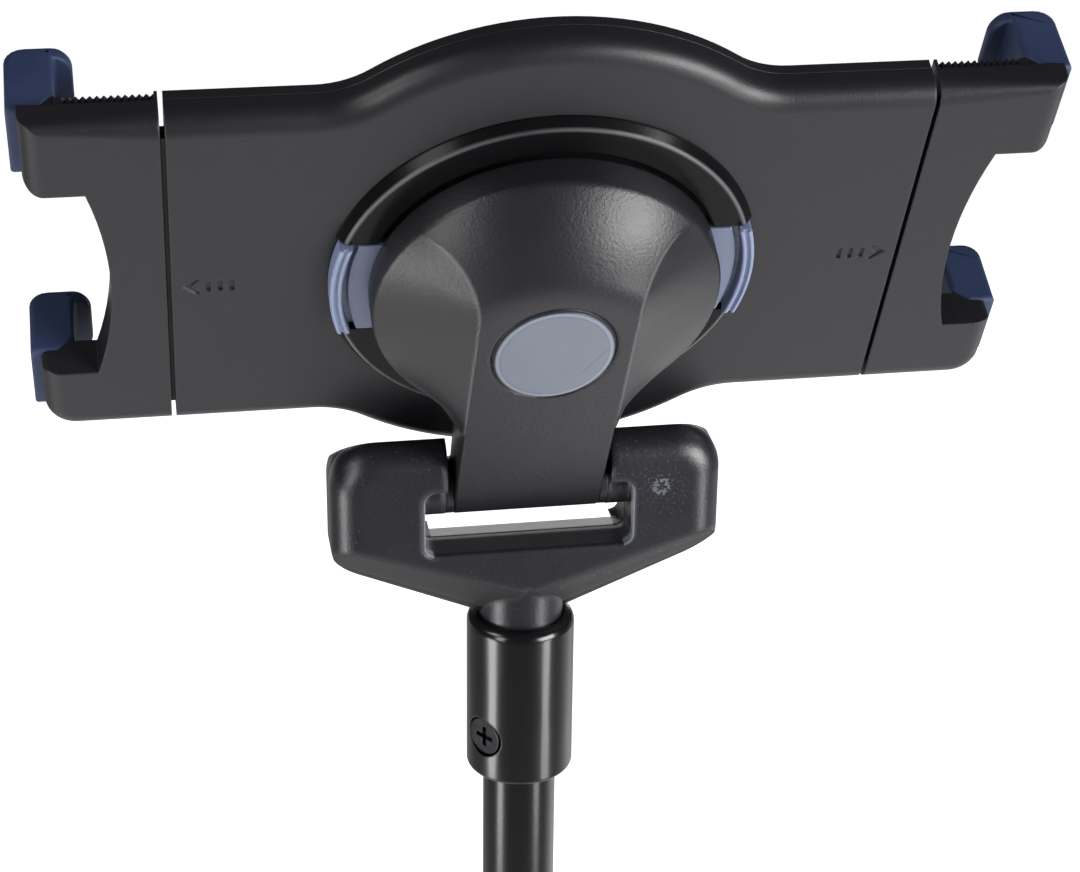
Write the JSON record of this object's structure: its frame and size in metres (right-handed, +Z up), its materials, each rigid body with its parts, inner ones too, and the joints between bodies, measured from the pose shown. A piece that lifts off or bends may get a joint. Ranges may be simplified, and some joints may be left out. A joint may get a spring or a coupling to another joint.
{
  "type": "tablet floor stand",
  "caption": "Adjustable tablet floor stand: weighted round base, telescopic pole, swivel and tilt bracket, and a turning cradle whose hooked jaws slide apart.",
  "frame": {"origin": "on the floor, under the pole's axis", "axes": "+Z up along the pole, +Y towards the tablet's screen side, +X to the right as the cradle's back is seen"},
  "size_m": [0.28, 0.28, 1.0416],
  "materials": {
    "black_plastic": "fine texture, black",
    "gloss_black": "gloss, black",
    "pole_black": "satin, black",
    "navy_rubber": "soft, dark blue",
    "grey_blue": "satin, grey-blue",
    "cap_grey": "satin, pale grey-blue",
    "steel": "zinc plated",
    "dark_steel": "black oxide",
    "iron": "as cast",
    "white_nylon": "natural nylon",
    "black_rubber": "soft, black"
  },
  "bodies": {
    "base": {"base_feet": "black_rubber", "base_weight": "iron", "base_cover": "black_plastic", "base_bolt": "steel", "base_washer": "steel", "lower_tube_plug": "steel", "pole_flange": "gloss_black", "lower_tube": "pole_black", "lower_lock_core": "black_plastic"},
    "lower_lock": {"lower_lock_nut": "black_plastic"},
    "middle_pole": {"middle_tube": "pole_black", "middle_tube_guide": "white_nylon", "upper_lock_core": "black_plastic"},
    "upper_lock": {"upper_lock_nut": "black_plastic"},
    "top_pole": {"top_tube": "pole_black", "top_tube_guide": "white_nylon", "pole_collar": "gloss_black", "collar_screw": "dark_steel", "stem_clip": "steel"},
    "swivel_head": {"bracket_housing": "black_plastic", "bracket_cover": "black_plastic", "bracket_cover_screws": "dark_steel", "tilt_pin": "steel", "tilt_nut": "steel", "friction_washers": "black_plastic"},
    "neck": {"neck_housing": "black_plastic", "centre_cap": "cap_grey", "swivel_screw": "steel", "swivel_washer": "steel", "swivel_nut": "steel", "glide_disc": "white_nylon"},
    "cradle": {"cradle_back_shell": "black_plastic", "cradle_front_plate": "black_plastic", "cradle_screws": "dark_steel", "front_pads": "black_rubber", "turntable_ring": "gloss_black"},
    "left_jaw": {"left_jaw": "black_plastic", "hook_pad_upper_left": "navy_rubber", "hook_pad_lower_left": "navy_rubber"},
    "right_jaw": {"right_jaw": "black_plastic", "hook_pad_upper_right": "navy_rubber", "hook_pad_lower_right": "navy_rubber"},
    "sync_pinion": {"sync_pinion": "white_nylon"},
    "left_tab": {"release_tab_left": "grey_blue"},
    "right_tab": {"release_tab_right": "grey_blue"}
  },
  "joints": [
    {"name": "lower_lock_twist", "type": "hinge", "parent": "base", "child": "lower_lock", "pos_m": [0, 0, 0.4405], "axis": [0, 0, 1], "range_deg": [0, 90]},
    {"name": "middle_pole_slide", "type": "slide", "parent": "base", "child": "middle_pole", "axis": [0, 0, 1], "range_m": [-0.19, 0.13]},
    {"name": "upper_lock_twist", "type": "hinge", "parent": "middle_pole", "child": "upper_lock", "pos_m": [0, 0, 0.6705], "axis": [0, 0, 1], "range_deg": [0, 90]},
    {"name": "top_pole_slide", "type": "slide", "parent": "middle_pole", "child": "top_pole", "axis": [0, 0, 1], "range_m": [-0.19, 0.13]},
    {"name": "head_swivel", "type": "hinge", "parent": "top_pole", "child": "swivel_head", "pos_m": [0, 0, 0.9157], "axis": [0, 0, 1], "continuous": true},
    {"name": "tilt", "type": "hinge", "parent": "swivel_head", "child": "neck", "pos_m": [0, -0.002, 0.9441], "axis": [1, 0, 0], "range_deg": [-12, 25]},
    {"name": "cradle_turn", "type": "hinge", "parent": "neck", "child": "cradle", "pos_m": [0, -0.01814, 0.99236], "axis": [0, -0.8957, -0.4446], "continuous": true},
    {"name": "left_jaw_slide", "type": "slide", "parent": "cradle", "child": "left_jaw", "axis": [-1, 0, 0], "range_m": [0, 0.042]},
    {"name": "right_jaw_slide", "type": "slide", "parent": "cradle", "child": "right_jaw", "axis": [1, 0, 0], "range_m": [0, 0.042]},
    {"name": "pinion_turn", "type": "hinge", "parent": "cradle", "child": "sync_pinion", "pos_m": [0, -0.01814, 0.99236], "axis": [0, -0.8957, -0.4446], "range_deg": [0, 171.8]},
    {"name": "left_tab_press", "type": "slide", "parent": "cradle", "child": "left_tab", "axis": [1, 0, 0], "range_m": [0, 0.0025], "stiffness_N_per_m": 600, "springref_m": -0.002},
    {"name": "right_tab_press", "type": "slide", "parent": "cradle", "child": "right_tab", "axis": [-1, 0, 0], "range_m": [0, 0.0025], "stiffness_N_per_m": 600, "springref_m": -0.002}
  ],
  "couplings": [
    {"joint": "left_jaw_slide", "follows": "pinion_turn", "m_per_rad": 0.014},
    {"joint": "right_jaw_slide", "follows": "pinion_turn", "m_per_rad": 0.014}
  ]
}
